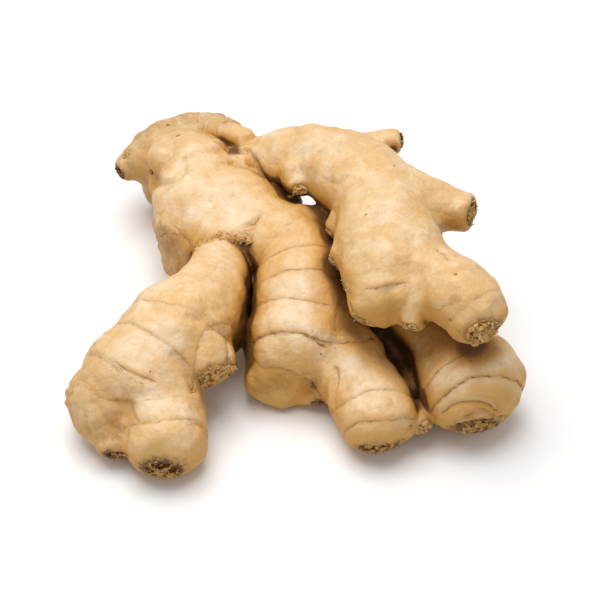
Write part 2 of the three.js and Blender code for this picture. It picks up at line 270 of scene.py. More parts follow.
SCARS = {
    "inner tip": oval_scar((-45.5, -80.5, 9), 8.2, 6.6, 0.7, 1.1),
    "outer tip": oval_scar((-61, -69, 6.5), 5.5, 3.8, 0.75, 0.7),
    "left stub": oval_scar((-28.8, -49, 19.5), 10.2, 9.2, 0.12, 0.55),
    "middle inner tip": oval_scar((27, -70, 7), 8.0, 5.0, 0.6, 0.7),
    "arm tip": oval_scar((59.8, -54.5, 48.5), 7.4, 6.4, 0.15, 1.7),
    "right stub": oval_scar((61, 3.5, 49), 5.4, 5.6, 0.4, 0.7),
    "right tip": oval_scar((60.5, -63, 10.5), 8.2, 6.2, 0.55, 1.3),
    "back stub": oval_scar((38.5, 45, 47.2), 3.6, 3.6, 0.7, 0.5),
    "first bud": oval_scar((0.2, 22.8, 41.9), 3.7, 3.3, 0.05, 0.7),
    "second bud": oval_scar((10.5, 1.5, 41), 2.4, 2.2, 0.2, 0.5),
    "knob side": oval_scar((-69, 53.5, 23.5), 3.4, 3.6, 0.9, 0.5),
    "corner bud": oval_scar((10.5, -15, 43), 2.0, 1.7, 0.5, 0.8),
    "end bud": oval_scar((19.5, -42.5, 41.0), 3.0, 2.4, 0.3, 0.6),
    "front bud": oval_scar((36, -48.5, 41), 3.8, 3.2, 0.1, 0.6),
    "inner tip bud": oval_scar((42.2, -61.5, 11), 3.0, 3.8, 0.05, 0.7),
    "low pit": oval_scar((6.8, -47.6, 5.5), 2.8, 2.5, 1.0, 0.6),
    "face pit": oval_scar((4.5, -47, 13.5), 1.3, 2.0, 0.4, 0.4),
    "knob rim": oval_scar((-65.0, 56.5, 31), 1.4, 2.4, 0.0, 0.6),
    "knob left pit": oval_scar((-56.0, 40, 35), 1.0, 1.7, 0.5, 0.4),
    "foot end": oval_scar((-51, 74, 8), 7.0, 5.0, 0.8, 0.8),
}

# Soft patches on the skin, as (middle, radius): bruised, yellowish, painted highlights, painted shade in the
# darkest gaps, and painted shade with browner skin.
BRUISES = [((-28.5, 70, 37), 4), ((50, -48.5, 58.5), 3), ((43.5, -43, 27.5), 4), ((50, -5, 50), 5),
           ((-46, 10, 24), 6), ((-7, -47.5, 15), 7), ((3, -48, 15), 8), ((-13, -45, 12), 6),
           ((19, -41, 44), 3), ((38, -66, 16), 4), ((66, -45, 52), 4), ((30, -66, 10), 7),
           ((56, -60, 20), 5), ((-62, -66, 12), 5), ((-52, -72, 12), 5)]
OCHRES = [((-46.5, -79, 17.5), 6), ((24, -70, 13.5), 4.5), ((-10, -45, 8), 6), ((60, -64, 10), 5)]
# Painted highlights: cream spots on the tops of the swells.
PAINTED_HIGHLIGHT_SPOTS = [((-21, 15, 40.5), 10), ((-26.5, 24.5, 43.5), 8), ((-39, 14.5, 38.5), 6), ((2, -23.5, 38), 8),
         ((0.5, -33.5, 35), 8), ((-5, -23, 37), 7), ((-56, -49, 35.5), 11), ((-44.5, -46, 37), 9),
         ((-48, -61.5, 24.5), 8), ((17, -46.5, 25.5), 8), ((23.5, -55.5, 25), 8), ((-50, 43.8, 44), 5),
         ((50, -55, 29), 7), ((0.5, 35, 51), 6)]
# Painted shade, nearly black, in the darkest gaps: between the fingers, under the knob's end bud and under
# the arm.
GAP_SHADE_SPOTS = [((-24, 48, 39), 4), ((38, -38, 9), 8), ((40, -44, 8), 7), ((-18, 3, 31), 6), ((-18, -4, 27), 7),
          ((-18, -12, 25), 7), ((-18.5, -20, 23), 7), ((-19, -28, 19), 7), ((30, -22, 10), 15),
          ((36, -36, 8), 11), ((3, 20, 30), 6), ((14, 4, 30), 8), ((-14, 33, 36), 4)]
# Spots of painted shade on shaded sides, creases and broken faces, with some browner skin among them.
SHADE_AND_BROWN_SPOTS = [((-44.5, 11, 24), 9), ((-59.5, -66.5, 14), 10), ((-57, -62, 22), 8), ((-55.5, -66, 16), 7),
          ((-37, -48.5, 21), 6), ((-34.5, -43, 30), 4), ((-22, 38.5, 41), 9), ((-29, 59, 40), 7),
          ((73, -43, 17), 9), ((1, -47.5, 11), 8), ((-10, -45, 11), 7), ((-17.7, 11, 32), 7),
          ((-56, 40, 33), 5), ((24, -70, 12), 6), ((-46, -77, 12), 6)]

# Small round root scars, as (middle, radius).
DOTS = [((-49.5, 64, 39.5), 0.9), ((-45, 55, 41), 1.3), ((-35.5, 63.5, 38), 0.5), ((-37, 18, 38.5), 1.0),
        ((-32.5, -44.5, 31.5), 0.6), ((4.5, -41.5, 30), 0.6), ((7.5, -42, 26), 0.5),
        ((37, -64.5, 15.5), 0.7), ((50.5, -40.5, 62.5), 0.7), ((44, -47.5, 49), 0.7),
        ((48.5, -52, 52.5), 0.8), ((52.5, -60.5, 8), 0.7), ((67, -59, 10), 1.3), ((73, -53.5, 10), 1.1),
        ((-10.5, 16.5, 42), 0.5), ((22.5, -10.5, 61), 0.5), ((33, 14.5, 61.5), 0.6), ((-54, 30.5, 27), 0.9),
        ((-49, -56, 32.5), 0.6), ((56.5, -52.5, 33.5), 0.7), ((-60, 66, 20), 1.2), ((20, 47, 47), 0.9),
        ((44, 15, 55), 0.7), ((74, -42, 20), 0.9), ((-70, -40, 22), 1.0), ((-46, 72, 22), 1.1),
        ((55, -22, 45), 0.9), ((5, 30, 50), 0.5)]

# Rows of fibres, as (the points they run through, how many, how pale the darkest is, the longest): the
# crown's lower edge, the arm's corner and the arm's end.
FRINGES = [
    ([(-37.5, 4, 33), (-35.5, 4, 34.5), (-33.5, 4.2, 36), (-30.5, 4.8, 37), (-27.5, 5.3, 37.2), (-24, 5, 37),
      (-20, 4, 36.5), (-17.5, 3.3, 36)], 230, 0.85, 1.4),
    ([(10.5, -11, 43.5), (11, -14.5, 43), (13, -21, 44), (15.5, -28, 46), (17.5, -34, 48)], 70, 0.1, 0.6),
    ([(17.5, -37.5, 47), (19, -41, 45), (21.5, -44.5, 43), (24.5, -45.5, 40.5)], 60, 0.1, 0.7),
]


# ---------------------------------------------------------------- one skin round the lobes

# Straight steps between two knuckles, before the curve is cut into even ones.
KNUCKLE_STEPS = 40


def middle_line(knuckles):
    """A smooth curve through the knuckles, as places and radii at even steps along it.

    It is the centripetal Catmull-Rom curve: between two knuckles, three straight blends of neighbours
    are blended again and again, each by how far the step has gone between its own two ends.
    """
    first, last = 2 * knuckles[0] - knuckles[1], 2 * knuckles[-1] - knuckles[-2]
    rows = np.vstack([first, knuckles, last])
    gaps = np.sqrt(np.linalg.norm(np.diff(rows[:, :3], axis=0), axis=1))
    times = np.concatenate([[0.0], np.cumsum(gaps)])
    fine = []
    for i in range(1, len(rows) - 2):
        t = np.linspace(times[i], times[i + 1], KNUCKLE_STEPS, endpoint=False)[:, None]

        def between(a, b, low, high):
            return a + (b - a) * (t - low) / (high - low)

        ends = times[i - 1:i + 3]
        a = [between(rows[i - 1 + k], rows[i + k], ends[k], ends[k + 1]) for k in range(3)]
        b = [between(a[k], a[k + 1], ends[k], ends[k + 2]) for k in range(2)]
        fine.append(between(b[0], b[1], ends[1], ends[2]))
    fine = np.vstack(fine + [rows[-2:-1]])
    run = np.concatenate([[0.0], np.cumsum(np.linalg.norm(np.diff(fine[:, :3], axis=0), axis=1))])
    along = np.linspace(0.0, run[-1], max(3, int(run[-1] / AXIS_STEP) + 1))
    even = np.stack([np.interp(along, run, fine[:, k]) for k in range(4)], axis=1)
    return along, even[:, :3], even[:, 3]


def curve_through(knots):
    """The places of a smooth curve through knots, which have no radius."""
    return middle_line(np.concatenate([np.array(knots, float), np.zeros((len(knots), 1))], axis=1))[1]


def add_axis(part):
    """Gives a lobe its middle line and, along it, the directions forward, sideways and up."""
    along, place, radius = middle_line(part["knuckles"])
    forward = unit(np.gradient(place, axis=0))
    side = unit(np.cross(forward, [0.0, 0.0, 1.0]))
    part.update(along=along, place=place, radius=radius, forward=forward, side=side,
                up=np.cross(side, forward))


lobes = list(LOBES.values())
for part in lobes:
    add_axis(part)


def tube_faces(rows, turns):
    """The faces between the rings of a tube, four corners each, for points that run ring by ring."""
    row, column = np.meshgrid(np.arange(rows - 1), np.arange(turns), indexing="ij")
    row, column = row.ravel(), column.ravel()
    follow = (column + 1) % turns
    return np.stack([row * turns + column, (row + 1) * turns + column, (row + 1) * turns + follow,
                     row * turns + follow], axis=1)


def lobe_shell(part):
    """A closed shell: an ellipse of the lobe's radius carried along its middle line, domed at both ends."""
    swing = (np.arange(1, DOME_ROWS + 1) / DOME_ROWS) * (math.pi / 2) * 0.985
    domes = []
    for end, outward in ((0, -1), (-1, 1)):
        reach_out = np.sin(swing) * part["dome"] * part["radius"][end] * outward
        domes.append((part["place"][end] + reach_out[:, None] * part["forward"][end],
                      np.cos(swing) * part["radius"][end]))
    (root, root_radii), (tip, tip_radii) = domes
    body = slice(None, None, RING_EVERY)
    places = np.vstack([root[::-1], part["place"][body], part["place"][-1:], tip])
    radii = np.concatenate([root_radii[::-1], part["radius"][body], part["radius"][-1:], tip_radii])

    def carried(name):
        own = part[name]
        return np.vstack([np.repeat(own[:1], DOME_ROWS, 0), own[body], own[-1:],
                          np.repeat(own[-1:], DOME_ROWS, 0)])

    turn = np.arange(SHELL_SIDES) * (2 * math.pi / SHELL_SIDES)
    side, up = carried("side"), carried("up")
    grid = (places[:, None]
            + radii[:, None, None] * np.cos(turn)[None, :, None] * side[:, None]
            + radii[:, None, None] * np.sin(turn)[None, :, None] * up[:, None] * part["flat"])
    for cut in part["cuts"]:
        grid = grid - np.maximum((grid - cut["on"]) @ cut["facing"], 0.0)[..., None] * cut["facing"]
    caps = [list(range(SHELL_SIDES)),
            list(range((len(grid) - 1) * SHELL_SIDES, len(grid) * SHELL_SIDES))[::-1]]
    return grid.reshape(-1, 3), tube_faces(len(grid), SHELL_SIDES), caps


def rough_skin():
    """One skin round all the lobes: their shells, meshed together on an even grid of small faces."""
    points, faces, start = [], [], 0
    for part in lobes:
        grid, quads, caps = lobe_shell(part)
        points.append(grid)
        faces += (quads + start).tolist() + [[i + start for i in cap] for cap in caps]
        start += len(grid)
    mesh = bpy.data.meshes.new("lobe_shells")
    mesh.from_pydata((np.vstack(points) * MM).tolist(), [], faces)
    shells = bpy.data.objects.new("lobe_shells", mesh)
    bpy.context.scene.collection.objects.link(shells)
    remesh = shells.modifiers.new("one skin", "REMESH")
    remesh.mode = "VOXEL"
    remesh.voxel_size = SKIN_GRID * MM
    deps = bpy.context.evaluated_depsgraph_get()
    joined = bpy.data.meshes.new_from_object(shells.evaluated_get(deps))
    bpy.data.objects.remove(shells)
    return joined


def points_of(mesh):
    """The mesh's points in millimetres."""
    flat = np.empty(len(mesh.vertices) * 3)
    mesh.vertices.foreach_get("co", flat)
    return flat.reshape(-1, 3) / MM


def corners_of(mesh):
    """The corners of every face, as an array of four for each, since the skin is all quads."""
    flat = np.empty(len(mesh.loops), int)
    mesh.loops.foreach_get("vertex_index", flat)
    return flat.reshape(-1, 4)


def normals_at(points, quads):
    """Each point's outward direction: the sum of its faces' area vectors, made one long."""
    area = np.cross(points[quads[:, 2]] - points[quads[:, 0]], points[quads[:, 3]] - points[quads[:, 1]])
    total = np.stack([sum(np.bincount(quads[:, k], area[:, axis], len(points)) for k in range(4))
                      for axis in range(3)], axis=1)
    return unit(total)


def evened(rows, quads):
    """Rows of values, one row a point, each moved halfway to the mean of its neighbours along the edges."""
    ends = np.concatenate([quads[:, [k, (k + 1) % 4]] for k in range(4)])
    count = np.bincount(ends[:, 0], minlength=len(rows)) + np.bincount(ends[:, 1], minlength=len(rows))
    total = np.stack([np.bincount(ends[:, 0], column[ends[:, 1]], len(rows))
                      + np.bincount(ends[:, 1], column[ends[:, 0]], len(rows)) for column in rows.T], axis=1)
    return 0.5 * rows + 0.5 * total / np.maximum(count, 1)[:, None]


# How many points are measured against a middle line at once.
AT_ONCE = 20000

# A broken face whose edge is rounded less than this is crisp.
CRISP_EDGE = 2


def beyond_cut(points, cut):
    """How far past a cut's uneven face each point lies."""
    return (points - cut["on"]) @ cut["facing"] + cut["rough"] * cloud(points, 6.0, 24)


def reach(points, part, margin=9.0):
    """How far outside a lobe each point lies, with its place along, across and above the middle line.

    The point is measured from the nearest place on the middle line. Its distance across and above that
    line, with the height stretched by the lobe's flatness, and past an end with the overshoot stretched
    by the dome, is one length; the lobe's radius there is taken off it.
    """
    low = part["place"].min(0) - part["radius"].max() - margin
    high = part["place"].max(0) + part["radius"].max() + margin
    near = np.flatnonzero(np.all((points > low) & (points < high), axis=1))
    outside = np.full(len(points), FAR)
    own = np.zeros((len(points), 3))
    if not len(near):
        return outside, own
    p = points[near]
    closest = np.empty(len(near), int)
    for chunk in np.array_split(np.arange(len(near)), max(1, len(near) // AT_ONCE)):
        gap = ((p[chunk, None] - part["place"][None]) ** 2).sum(-1)
        closest[chunk] = gap.argmin(1)
    lean = ((p - part["place"][closest]) * part["forward"][closest]).sum(1)
    along = part["along"][closest] + lean
    held = np.clip(along, 0.0, part["along"][-1])
    past = np.abs(along - held)

    def at(name):
        return np.stack([np.interp(held, part["along"], part[name][:, k]) for k in range(3)], axis=1)

    offset = p - at("place")
    across, above = (offset * at("side")).sum(1), (offset * at("up")).sum(1)
    radius = np.interp(held, part["along"], part["radius"])
    distance = np.sqrt(across ** 2 + (above / part["flat"]) ** 2 + (past / part["dome"]) ** 2) - radius
    for cut in part["cuts"]:
        distance = -soft_least(-distance, -beyond_cut(p, cut), cut["edge"])
    outside[near] = distance
    own[near] = np.stack([along, across, above], axis=1)
    return outside, own


def soft_least(a, b, width):
    """The smaller of two distances, rounded off over the given width where they are nearly the same."""
    share = np.maximum(width - np.abs(a - b), 0.0) / width
    return np.minimum(a, b) - share ** 2 * width / 4


def outside_all(points):
    """How far outside the whole rhizome each point lies, with fillets where one lobe leaves another.

    Each branch is filled by itself, lobe by lobe, and then joined to the branches before it.
    """
    total, branch, join = np.full(len(points), FAR), np.full(len(points), FAR), 1.0
    for part in lobes:
        gap = reach(points, part)[0]
        if part["branch"]:
            total = soft_least(total, branch, join)
            branch, join = gap, part["blend"]
        else:
            branch = soft_least(branch, gap, part["blend"])
    return soft_least(total, branch, join)


def settled(points, quads, rounds=5):
    """The skin's points moved along their own outward directions until they lie on the blended lobes."""
    for _ in range(rounds):
        gap = np.clip(outside_all(points), -1.5, 1.5)
        points = points - normals_at(points, quads) * gap[:, None] * 0.9
    return points


def on_skin(spots):
    """Spots moved onto the lobes along the way the field rises fastest, and that direction."""
    spots = np.array(spots, float).reshape(-1, 3)
    for _ in range(6):
        around = (spots[:, None] + 1.5 * np.vstack([np.eye(3), -np.eye(3)])).reshape(-1, 3)
        field = outside_all(around).reshape(-1, 6)
        outward = unit(field[:, :3] - field[:, 3:])
        spots = spots - outward * np.clip(outside_all(spots), -2, 2)[:, None]
    return spots, outward


def lattice_value(cells, seed):
    """A fixed value from 0 to 1 for each lattice cell, by mixing its three whole numbers."""
    mixed = (cells[..., 0] * 73856093) ^ (cells[..., 1] * 19349663) ^ (cells[..., 2] * 83492791)
    mixed = mixed ^ (seed * 2654435)
    mixed = (mixed ^ (mixed >> 13)) * 1274126177
    return ((mixed ^ (mixed >> 16)) & 0xFFFF) / 0xFFFF


def cloud(points, size, seed):
    """Smooth random values from -1 to 1: the corners' values of each lattice cell, eased across it."""
    scaled = points / size
    base = np.floor(scaled).astype(np.int64)
    part = scaled - base
    part = part ** 3 * (part * (part * 6 - 15) + 10)
    total = np.zeros(len(points))
    for corner in np.ndindex(2, 2, 2):
        corner = np.array(corner)
        weight = np.prod(np.where(corner == 1, part, 1 - part), axis=1)
        total += weight * lattice_value(base + corner, seed)
    return total * 2 - 1


def facets(points, size, seed):
    """Flat-sided unevenness from about -1 to 1, and a tone from 0 to 1 for each flat.

    Every lattice cell has a middle at a random place in it, a random tilt and a random tone. A point
    takes the mean of the planes round it, weighed by exp(-8 d^2) with d its distance from their middles
    in cells, so that each plane keeps the ground nearest to it.
    """
    base = np.floor(points / size).astype(np.int64)
    weights, height, tone = (np.zeros(len(points)) for _ in range(3))
    for corner in np.ndindex(3, 3, 3):
        cell = base + np.array(corner) - 1
        values = np.stack([lattice_value(cell, seed + k) for k in range(7)], axis=1)
        offset = points / size - (cell + values[:, :3])
        weight = np.exp(-8 * (offset ** 2).sum(1))
        weights += weight
        height += weight * ((values[:, 3:6] * 2 - 1) * offset).sum(1)
        tone += weight * values[:, 6]
    return height / weights, tone / weights


def lumps(points):
    """The unevenness of the whole skin: broad swells, knuckles, small dents and flats."""
    dents = 0.45 - np.abs(cloud(points, 12, 4))
    flats = 0.8 * facets(points, *BROAD_FLATS)[0] + 0.3 * facets(points, *SMALL_FLATS)[0]
    return (0.8 * cloud(points, 18, 1) + 0.45 * cloud(points, 8.5, 2) + 0.22 * cloud(points, 4.2, 3)
            + 0.12 * cloud(points, 2.2, 5) + 0.6 * dents + flats)


# ---------------------------------------------------------------- marks on the skin

def nearest_rings(owner, own_place):
    """How far past the nearest ring of its own lobe each point lies, with that ring's darkness.

    A ring is at its distance along the lobe plus its four waves of the turn, and the distance runs from
    minus at the lobe's root side to plus at its tip side.
    """
    past, dark = np.full(len(owner), FAR), np.zeros(len(owner))
    for i, part in enumerate(lobes):
        mine = np.flatnonzero(owner == i)
        if not len(part["rings"]) or not len(mine):
            continue
        along, across, above = own_place[mine].T
        turn = np.arctan2(above / part["flat"], across)
        waves = np.stack([np.ones_like(turn), np.cos(turn), np.sin(turn), np.cos(2 * turn),
                          np.sin(2 * turn)])
        gap = along - part["rings"][:, [0, 2, 3, 4, 5]] @ waves
        which = np.abs(gap).argmin(0)
        past[mine] = gap[which, np.arange(len(mine))]
        dark[mine] = part["rings"][which, 1]
    return past, dark


def line_distance(points, out, knots):
    """How far each point lies to the left of a line drawn through knots, on the skin, and past its ends.

    The line is the smooth curve through the knots; left is its direction crossed with the outward one.
    """
    place = curve_through(knots)
    forward = unit(np.gradient(place, axis=0))
    near = np.flatnonzero(np.all((points > place.min(0) - 6) & (points < place.max(0) + 6), axis=1))
    aside, beyond = np.full(len(points), FAR), np.full(len(points), FAR)
    if len(near):
        offset = points[near, None] - place[None]
        closest = (offset ** 2).sum(-1).argmin(1)
        offset = offset[np.arange(len(near)), closest]
        lean = (offset * forward[closest]).sum(1)
        offset = offset - lean[:, None] * forward[closest]
        left = np.cross(out[near], forward[closest])
        aside[near] = np.linalg.norm(offset, axis=1) * np.sign((offset * left).sum(1))
        ends = (closest == 0) | (closest == len(place) - 1)
        beyond[near] = np.where(ends, np.abs(lean), 0.0)
    return aside, beyond


def patch(points, spots):
    """One in the middle of the nearest of some round spots, falling to zero at its edge and below past it."""
    best = np.full(len(points), -1.0)
    for middle, radius in spots:
        best = np.maximum(best, 1 - np.linalg.norm(points - middle, axis=1) / radius)
    return best


def place_scar(scar):
    """Moves a scar's middle onto the lobes and gives it its outward, sideways and upward directions."""
    middle, outward = on_skin(scar["middle"])
    side = unit(np.cross([[0.0, 0.0, 1.0]], outward))
    scar.update(middle=middle[0], outward=outward[0], side=side[0], rise=np.cross(outward, side)[0])


def scar_share(points, scar):
    """One in the middle of a scar, zero on its oval edge and less than zero outside it."""
    offset = points - scar["middle"]
    flat = np.sqrt(((offset @ scar["side"]) / scar["wide"]) ** 2
                   + ((offset @ scar["rise"]) / scar["high"]) ** 2
                   + ((offset @ scar["outward"]) / max(scar["wide"], scar["high"])) ** 2)
    return 1 - flat


def scar_cover(points):
    """How deep in the nearest scar each point lies, one in its middle, and how dark that scar is."""
    cover, dark = np.full(len(points), -1.0), np.zeros(len(points))
    for scar in SCARS.values():
        share = scar_share(points, scar)
        dark = np.where(share > cover, scar["dark"], dark)
        cover = np.maximum(cover, share)
    return cover, dark


def lobes_round(points):
    """How far outside every lobe each point lies, its three nearest lobes, and its place on the nearest."""
    measured = [reach(points, part) for part in lobes]
    outside = np.stack([m[0] for m in measured], axis=1)
    order = np.argsort(outside, axis=1)[:, :3]
    own_place = np.stack([m[1] for m in measured], axis=1)[np.arange(len(points)), order[:, 0]]
    return outside, order, own_place


def seam_lines(order, nearest):
    """How far each point lies past the seam between its two nearest lobes, with the seam's darkness."""
    seams = np.array([part["seam"] for part in lobes])
    owner, second = order[:, 0], order[:, 1]
    gap = nearest[:, 1] - nearest[:, 0]
    at = np.where(owner < second, -gap, gap)
    mark = (seams[np.maximum(owner, second)] * eased(2.6, 1.4, np.abs(at))
            * eased(0.0, 1.5, nearest[:, 2] - nearest[:, 1]) * eased(2.5, 0.8, np.abs(nearest[:, 0])))
    return at, mark


def nearer_line(at, mark, other_at, other_mark):
    """Of two lines near each point, the distance and darkness of the nearer one that shows there."""
    closer = (other_mark > 0) & ((np.abs(other_at) < np.abs(at)) | (mark <= 0))
    return np.where(closer, other_at, at), np.where(closer, other_mark, mark)


def folded(points, out, at, mark):
    """The lines with the folds among them, and how far folds and valleys lower the skin.

    A fold's groove is 1.3 exp(-(d / 0.8)^2) of its depth at a distance d, less a low swell along its left
    side, and a valley's is exp(-(d / width)^2) of its depth. Both fade out past their ends.
    """
    relief = np.zeros(len(points))
    for dark, deep, knots in FOLDS.values():
        aside, beyond = line_distance(points, out, on_skin(knots)[0])
        strength = eased(2.0, 0.0, beyond)
        swell = 0.5 * np.exp(-((aside - 2) / 1.6) ** 2)
        relief -= deep * strength * (1.3 * np.exp(-(aside / 0.8) ** 2) - swell)
        at, mark = nearer_line(at, mark, aside, dark * strength * eased(3.2, 2.0, np.abs(aside)))
    for deep, wide, knots in VALLEYS:
        aside, beyond = line_distance(points, out, on_skin(knots)[0])
        relief -= deep * eased(2.5, 0.0, beyond) * np.exp(-(aside / wide) ** 2)
    return at, mark, relief


def painted_shade_of_hollows(points, out):
    """How far into a hollow each point lies, and how shaded it is, from 0 in the open to 1 deep in a gap.

    A place a little way straight out from the skin is nearer than that to the lobes where other lobes
    close it in. Both values are painted shade, which darkens the colour where lobes close the skin in or
    shade it. The painted shade of the hollows also takes in spots of painted shade and browner skin.
    """
    near, middle, far = [np.clip(1 - outside_all(points + out * away) / away, 0, 1)
                         for away in (2.5, 7.0, 18.0)]
    # Spots of painted shade and browner skin, which deepen the painted shade of the hollows.
    shade_and_brown = np.clip(patch(points, SHADE_AND_BROWN_SPOTS), 0, 0.7) * (1 + 0.8 * cloud(points, 6.0, 27))
    return (near + middle + far) / 3 + 0.35 * np.clip(shade_and_brown, 0, 1), 0.4 * middle + 0.6 * far


def cut_share(points, owner):
    """One on the crisp faces where a lobe is broken off, zero elsewhere."""
    share = np.zeros(len(points))
    for i, part in enumerate(lobes):
        for cut in part["cuts"]:
            face = eased(-1.2, -0.3, beyond_cut(points, cut))
            share = np.maximum(share, face * (owner == i) * (cut["edge"] < CRISP_EDGE))
    return share


def ring_relief(at, mark):
    """A swell between rings, a narrow groove on each, and a small step down past it."""
    ledge = np.where(at > 0, -0.32 * np.exp(-at / 2.6), 0.14 * np.exp(at / 2.2))
    return mark * (0.5 * eased(0, 6, np.abs(at)) - 0.28 * np.exp(-(at / 0.55) ** 2) + ledge)


# ---------------------------------------------------------------- skin

def keep(mesh, name, values):
    """Keeps a number, or three, for each point on the mesh, for the material to read."""
    kind = "FLOAT_VECTOR" if values.ndim > 1 else "FLOAT"
    field = "vector" if values.ndim > 1 else "value"
    mesh.attributes.new(name, kind, "POINT").data.foreach_set(field, values.astype(np.float32).ravel())


def skin_piece(name, mesh, fields):
    """A smooth piece that rides on the rhizome, from its mesh, with named values kept on its points."""
    mesh.polygons.foreach_set("use_smooth", [True] * len(mesh.polygons))
    for field, values in fields.items():
        keep(mesh, field, values)
    piece = bpy.data.objects.new(name, mesh)
    bpy.context.scene.collection.objects.link(piece)
    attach(piece, "root")
    print(name, len(mesh.vertices), "points", len(mesh.polygons), "faces")
    return piece


def smooth_points(points, quads):
    """The skin's points settled on the lobes, spread evenly along them, settled again and evened."""
    points = settled(points, quads)
    for _ in range(3):
        out = normals_at(points, quads)
        shift = evened(points, quads) - points
        points = points + shift - out * (shift * out).sum(1)[:, None]
    return evened(evened(settled(points, quads, 2), quads), quads)


def rind_mesh():
    """The rhizome's skin with its relief, and the values that its material reads.

    Rings, seams between lobes and folds share one distance and one darkness, that of the nearest.
    """
    mesh = rough_skin()
    quads = corners_of(mesh)
    points = smooth_points(points_of(mesh), quads)
    out = normals_at(points, quads)
    outside, order, own_place = lobes_round(points)
    owner = order[:, 0]
    nearest = np.take_along_axis(outside, order, axis=1)
    to_seam = nearest[:, 1] - nearest[:, 0]

    ring_at, ring_dark = nearest_rings(owner, own_place)
    ring_at = ring_at + (0.9 * cloud(points, 12, 11) + 0.35 * cloud(points, 4, 12))
    ring_mark = ring_dark * eased(0.3, 2.0, to_seam)
    seam_at, seam_mark = seam_lines(order, nearest)
    line_mark = ring_dark * eased(0.3, 1.8, to_seam) * eased(3.2, 2.0, np.abs(ring_at))
    line_at, line_mark = nearer_line(ring_at, line_mark, seam_at, seam_mark)
    line_at, line_mark, fold_relief = folded(points, out, line_at, line_mark)
    scar_mask, scar_dark = scar_cover(points)
    # Painted shade for the colour: how far into a hollow each point lies, and how shaded it is.
    painted_shade_and_brown, painted_shade = painted_shade_of_hollows(points, out)
    broken = cut_share(points, owner)
    bruised = np.clip(patch(points, BRUISES), 0, 0.5)
    weight = np.exp(-np.clip(outside - nearest[:, :1], 0, 30) / 2.0)
    age = weight @ np.array([part["age"] for part in lobes]) / weight.sum(1)

    relief = lumps(points) + 0.3 * cloud(own_place / (20, 5.5, 5.5), 1.0, 21)
    relief += broken * (0.6 * cloud(points, 4.5, 22) + 0.5 * cloud(points, 2.1, 23))
    relief += 0.45 * bruised * (cloud(points, 3.2, 25) + cloud(points, 1.8, 26)) * 2
    relief += ring_relief(ring_at, ring_mark)
    relief += fold_relief
    relief -= 0.35 * seam_mark * np.exp(-(seam_at / 0.7) ** 2)
    relief -= 0.7 * eased(-0.05, 0.5, scar_mask)
    points = points + out * relief[:, None]
    points[:, 2] = np.maximum(points[:, 2], 0.0)
    mesh.vertices.foreach_set("co", (points * MM).ravel())
    mesh.update()

    # The values for the material include painted shade of the hollows, the gaps and the flanks, and painted
    # highlights.
    return mesh, {
        "line_at": line_at, "line_mark": line_mark, "scar": scar_mask, "scar_dark": scar_dark,
        "bruise": patch(points, BRUISES), "ochre": patch(points, OCHRES), "painted_shade_and_brown": painted_shade_and_brown,
        "painted_shade": painted_shade, "painted_gap_shade": patch(points, GAP_SHADE_SPOTS), "age": age, "pale": patch(points, PAINTED_HIGHLIGHT_SPOTS),
        "plates": 0.65 * facets(points, *BROAD_FLATS)[1] + 0.35 * facets(points, *SMALL_FLATS)[1],
        # Top is how much the skin faces up, and the colour paints golden shade on the skin that faces away
        # from it.
        "top": eased(-0.1, 0.95, out[:, 2] + 0.25 * cloud(points, 10, 41)),
        "broken": broken, "grain": own_place}


for scar in SCARS.values():
    place_scar(scar)
rhizome = skin_piece("ginger_skin", *rind_mesh())
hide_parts("ginger_root")


# ---------------------------------------------------------------- crusts and fibres

def closed_caps(rows, turns, grids):
    """Points and faces of many round caps at once, each closed: rings of a grid, a top and a bottom pole.

    Grids is (caps, rows, turns, 3) from the innermost ring to the outermost, and each cap has its top
    pole and its bottom pole after its rings.
    """
    caps = len(grids)
    top = grids[:, 0].mean(1)
    low = grids[:, -1].mean(1)
    flat = np.concatenate([grids.reshape(caps, -1, 3), top[:, None], low[:, None]], axis=1)
    ring = np.arange(turns)
    inner = np.stack([np.full(turns, rows * turns), ring, (ring + 1) % turns], axis=1)
    last = (rows - 1) * turns
    outer = np.stack([np.full(turns, rows * turns + 1), last + (ring + 1) % turns, last + ring], axis=1)
    start = (np.arange(caps) * flat.shape[1])[:, None, None]
    sheets = (tube_faces(rows, turns)[None] + start).reshape(-1, 4)
    fans = (np.stack([inner, outer]).reshape(1, -1, 3) + start).reshape(-1, 3)
    return flat.reshape(-1, 3), sheets.tolist() + fans.tolist()


def grown_piece(name, places, faces, fields):
    """A piece of the skin from its points and faces, held above the table."""
    places[:, 2] = np.maximum(places[:, 2], 0.0)
    mesh = bpy.data.meshes.new(name)
    mesh.from_pydata((places * MM).tolist(), [], faces)
    return skin_piece(name, mesh, fields)


def dropped(spots, away, most=4.0):
    """Spots moved against a direction until they lie on the lobes, by at most so many millimetres."""
    start = spots
    for _ in range(10):
        spots = spots - away * np.clip(outside_all(spots), -1.5, 1.5)[:, None] * 0.85
    moved = ((spots - start) * away).sum(1)
    return start + away * np.clip(moved, -most, most)[:, None]


def on_scar(scar, share, turn):
    """Places on a scar's oval: a share of the way out from its middle to its edge, at a turn round it."""
    return (scar["middle"] + (scar["wide"] * share * np.cos(turn))[..., None] * scar["side"]
            + (scar["high"] * share * np.sin(turn))[..., None] * scar["rise"])


def raised_from(scar, spots):
    """Spots dropped on the lobes under a scar, and the directions that fan out over it from below."""
    below = scar["middle"] - scar["outward"] * (1.2 * max(scar["wide"], scar["high"]) + 2)
    away = unit(spots - below)
    return dropped(spots + away * 1.5, away), away


CRUST_ROWS = 30
CRUST_TURNS = 84


def crust_height(places, seed):
    """Corky crust, from 0 in its pits to 1 on its walls: thick bent ridges where a noise crosses zero."""
    bend = np.stack([cloud(places, 2.2, seed + k) for k in (1, 2, 3)], axis=1) * 1.2
    ridge = 1 - np.abs(cloud(places + bend, 2.0, seed + 4)) * 2.2
    small = 1 - np.abs(cloud(places + bend, 1.05, seed + 5)) * 2.0
    return np.clip(0.5 * ridge + 0.42 * small + 0.08, 0, 1)


